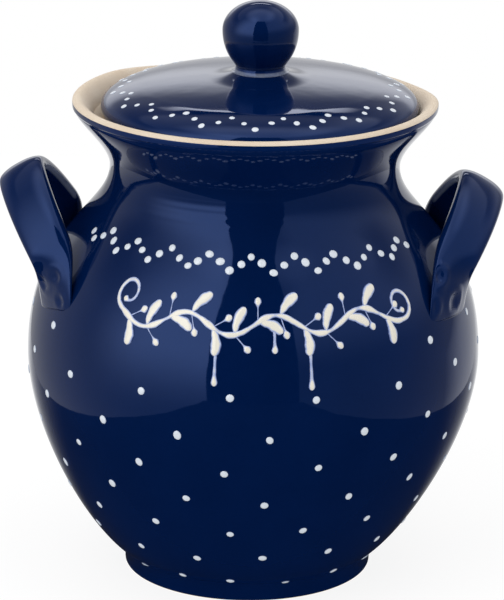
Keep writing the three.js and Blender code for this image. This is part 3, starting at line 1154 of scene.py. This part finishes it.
def vine_piece(material):
    """A running stem with leaves and berries to both sides, and slip that ran a little before it set."""
    bm = bmesh.new()
    body = bm.verts.layers.float.new("slip_body")
    spots = [vine_spot(mix(VINE_START, VINE_END, i / VINE_STEPS)) for i in range(VINE_STEPS + 1)]
    swells = [sin(STEM_SWELL_PITCH * i) ** 2 for i in range(VINE_STEPS + 1)]
    trail(bm, body, spots, [STEM_WIDTH * mix(STEM_THINNEST, STEM_THICKEST, swell) for swell in swells])
    for i in range(int((VINE_END - VINE_START) / LEAF_PITCH)):
        run = VINE_START + LEAF_PITCH * (i + LEAF_FIRST)
        root = vine_spot(run)
        ahead = (vine_spot(run + VINE_TANGENT) - root).normalized()
        beside = Vector((-ahead.y, ahead.x)) * (1 if i % 2 else -1)
        widest = leaf(bm, body, root, (ahead * LEAF_FORWARD + beside).normalized())
        berry(bm, body, root, root - beside * BERRY_STALK + ahead * BERRY_AHEAD)
        if i in RUN_LENGTHS:
            slip_run(bm, body, widest, RUN_LENGTHS[i])
    curl(bm, body, VINE_END, 1)
    curl(bm, body, VINE_START, -1)
    bmesh.ops.recalc_face_normals(bm, faces=bm.faces)
    add_piece("slip_vine", bm, [material], "pot")


# Studio

def studio_walls(tree):
    """How bright the gloss sees the studio by direction: grey walls, soft boxes and a white backdrop."""
    direction = tree.nodes.new("ShaderNodeTexCoord").outputs["Generated"]
    parts = add_node(tree, "ShaderNodeSeparateXYZ", Vector=direction).outputs
    x = parts["X"]
    y = parts["Y"]
    z = parts["Z"]
    aside = math_node(tree, "ABSOLUTE", x)
    left = ramp(tree, x, *LEFT_X)
    walls = math_node(tree, "MULTIPLY_ADD", left, WALL_LEFT - WALL_RIGHT, WALL_RIGHT)
    softboxes = [
        (LEFT_SOFTBOX, [left, ramp(tree, y, *LEFT_SOFTBOX_Y), ramp(tree, z, *LEFT_SOFTBOX_Z)]),
        (RIGHT_SOFTBOX, [ramp(tree, x, *RIGHT_SOFTBOX_X), ramp(tree, z, *RIGHT_SOFTBOX_Z)]),
        (TOP_SOFTBOX, [ramp(tree, z, *TOP_SOFTBOX_Z)]),
    ]
    for strength, shares in softboxes:
        walls = math_node(tree, "MULTIPLY_ADD", product(tree, shares), strength, walls)
    gloom = product(tree, [
        ramp(tree, z, *GLOOM_FOOT_Z),
        ramp(tree, y, *GLOOM_Y),
        ramp(tree, z, *GLOOM_TOP_Z),
    ])
    walls = math_node(tree, "MULTIPLY", walls, math_node(tree, "MULTIPLY_ADD", gloom, -WALL_FALL, 1.0))
    turn = math_node(tree, "MULTIPLY", ramp(tree, z, *BACKDROP_TURN_Z), BACKDROP_TURN)
    towards_backdrop = math_node(tree, "MULTIPLY_ADD", x, turn, y)
    ceiling = ramp(tree, z, *BACK_CEILING_Z)
    white = math_node(tree, "MULTIPLY_ADD", ceiling, BACK_CEILING - BACKDROP, BACKDROP)
    behind = product(tree, [ramp(tree, towards_backdrop, *BACKDROP_Y), white])
    walls = math_node(tree, "MAXIMUM", walls, behind)
    back = product(tree, [
        ramp(tree, y, *BACK_SOFTBOX_Y),
        ramp(tree, z, *BACK_SOFTBOX_FOOT_Z),
        ramp(tree, z, *BACK_SOFTBOX_TOP_Z),
    ])
    walls = math_node(tree, "MULTIPLY_ADD", back, BACK_SOFTBOX, walls)
    over_backdrop = product(tree, [ramp(tree, y, *STRIP_Y), ramp(tree, aside, *STRIP_ASIDE)])
    dark_line = [over_backdrop, ramp(tree, z, *DARK_LINE_FOOT_Z), ramp(tree, z, *DARK_LINE_TOP_Z)]
    lit = math_node(tree, "SUBTRACT", 1.0, product(tree, dark_line))
    walls = math_node(tree, "MULTIPLY", walls, lit)
    strip = [over_backdrop, ramp(tree, z, *STRIP_FOOT_Z), ramp(tree, z, *STRIP_TOP_Z)]
    return math_node(tree, "MULTIPLY_ADD", product(tree, strip), STRIP_LAMP, walls)


def white_tent():
    """White to the camera, a plain soft light on the object, and the studio's walls in the gloss."""
    world = bpy.data.worlds.new("white_tent")
    world.use_nodes = True
    tree = world.node_tree
    path = tree.nodes.new("ShaderNodeLightPath").outputs
    in_gloss = math_node(tree, "MAXIMUM", path["Is Glossy Ray"], path["Is Transmission Ray"])
    over = math_node(tree, "SUBTRACT", studio_walls(tree), TENT_LIGHT)
    level = math_node(tree, "MULTIPLY_ADD", in_gloss, over, TENT_LIGHT)
    level = math_node(tree, "MAXIMUM", level, path["Is Camera Ray"])
    set_inputs(tree, tree.nodes["Background"], Color=rgb(1, 1, 1), Strength=level)
    bpy.context.scene.world = world


def board(name, material, half_width, half_height, place):
    """A flat rectangle of the studio, its face along the place's Z."""
    bm = bmesh.new()
    bmesh.ops.create_grid(bm, x_segments=1, y_segments=1, size=1)
    bmesh.ops.transform(bm, matrix=place @ Matrix.Diagonal((half_width, half_height, 1, 1)), verts=bm.verts)
    mesh = bpy.data.meshes.new(name)
    bm.to_mesh(mesh)
    bm.free()
    mesh.materials.append(material)
    made = link(bpy.data.objects.new(name, mesh))
    return made


def table_board(name, material, lift):
    middle = Matrix.Translation((0, (TABLE_FRONT + TABLE_BACK) / 2, lift))
    return board(name, material, TABLE_HALF_WIDTH, (TABLE_BACK - TABLE_FRONT) / 2, middle)


def pale_floor():
    """A floor that is white to the camera and in the gloss, less the object's shadow."""
    material, tree, shader = new_material("pale_floor")
    path = tree.nodes.new("ShaderNodeLightPath").outputs
    seen = math_node(tree, "MAXIMUM", path["Is Camera Ray"], path["Is Glossy Ray"])
    seen = math_node(tree, "MAXIMUM", seen, path["Is Transmission Ray"])
    white = math_node(tree, "MULTIPLY_ADD", seen, FLOOR_WHITE - FLOOR_BOUNCE, FLOOR_BOUNCE)
    set_inputs(tree, shader, Base_Color=rgb(FLOOR_SHADE, FLOOR_SHADE, FLOOR_SHADE), Roughness=1.0,
               Specular_IOR_Level=0.0, Emission_Color=white, Emission_Strength=1.0)
    table_board("pale_floor", material, 0)


def dark_cards():
    """Dark table and dark gap between the lamps, where the camera stands; they show only in the gloss."""
    material, tree, shader = new_material("dark_card")
    across = add_node(tree, "ShaderNodeSeparateXYZ", Vector=object_place(tree)).outputs
    aside = math_node(tree, "ABSOLUTE", across["X"])
    backward = math_node(tree, "DIVIDE", across["Y"], aside)
    beside = ramp(tree, aside, *CARD_CLEAR_ASIDE)
    behind = ramp(tree, backward, *CARD_CLEAR_BACKWARD)
    cleared = product(tree, [beside, behind])
    shown = math_node(tree, "SUBTRACT", 1.0, cleared)
    set_inputs(tree, shader, Base_Color=DARK_CARD, Roughness=CARD_ROUGHNESS, Alpha=shown)
    upright = Matrix.Rotation(pi / 2, 4, "X")
    gap = Matrix.Translation((0, -GAP_DISTANCE, (GAP_TOP + GAP_BOTTOM) / 2)) @ upright
    cards = [
        board("gap_card", material, GAP_HALF_WIDTH, (GAP_TOP - GAP_BOTTOM) / 2, gap),
        table_board("table_card", material, CARD_LIFT),
    ]
    for card in cards:
        card.visible_camera = False
        card.visible_diffuse = False
        card.visible_shadow = False


def soft_lamp(name, location, aim, width, height, radiance):
    data = bpy.data.lights.new(name, "AREA")
    data.shape = "RECTANGLE"
    data.size = width
    data.size_y = height
    data.energy = radiance * pi * width * height
    lamp = link(bpy.data.objects.new(name, data))
    lamp.location = location
    lamp.rotation_mode = "QUATERNION"
    lamp.rotation_quaternion = (Vector(aim) - Vector(location)).to_track_quat("-Z", "Y")
    lamp.visible_camera = False
    lamp.visible_glossy = False


place_camera()
bpy.context.scene.view_settings.view_transform = "Standard"
white_tent()
pale_floor()
dark_cards()
for lamp_name, lamp_facts in SOFT_LAMPS.items():
    soft_lamp(lamp_name, *lamp_facts)

glaze = cobalt_glaze(glaze_pooling_group())
clay = bare_stoneware()
fade = slip_fade_group()
white_slip = slip("white_slip", fade, *WHITE_SLIP)
cream_slip = slip("cream_slip", fade, *CREAM_SLIP)

pot_piece(glaze, clay)
lid_piece(glaze, clay)
knob_piece(glaze)
strap_piece("left_strap", "handle_left", LEFT_RISE, pi, glaze, LEFT_PAD, LEFT_PRESSES)
strap_piece("right_strap", "handle_right", RIGHT_RISE, 0, glaze, RIGHT_PAD, RIGHT_PRESSES)

shape = dot_shape()
rng = Random(DOT_SEED)
dots_piece("shoulder_garland", garland_places(rng), GARLAND_DOT, DOT_HEIGHT, white_slip, "pot", rng, shape)
dots_piece("belly_dots", belly_places(rng), BELLY_DOT, DOT_HEIGHT, white_slip, "pot", rng, shape)
dots_piece("lid_garland", lid_garland_places(rng), LID_DOT, LID_DOT_HEIGHT, white_slip, "lid", rng, shape)
vine_piece(cream_slip)
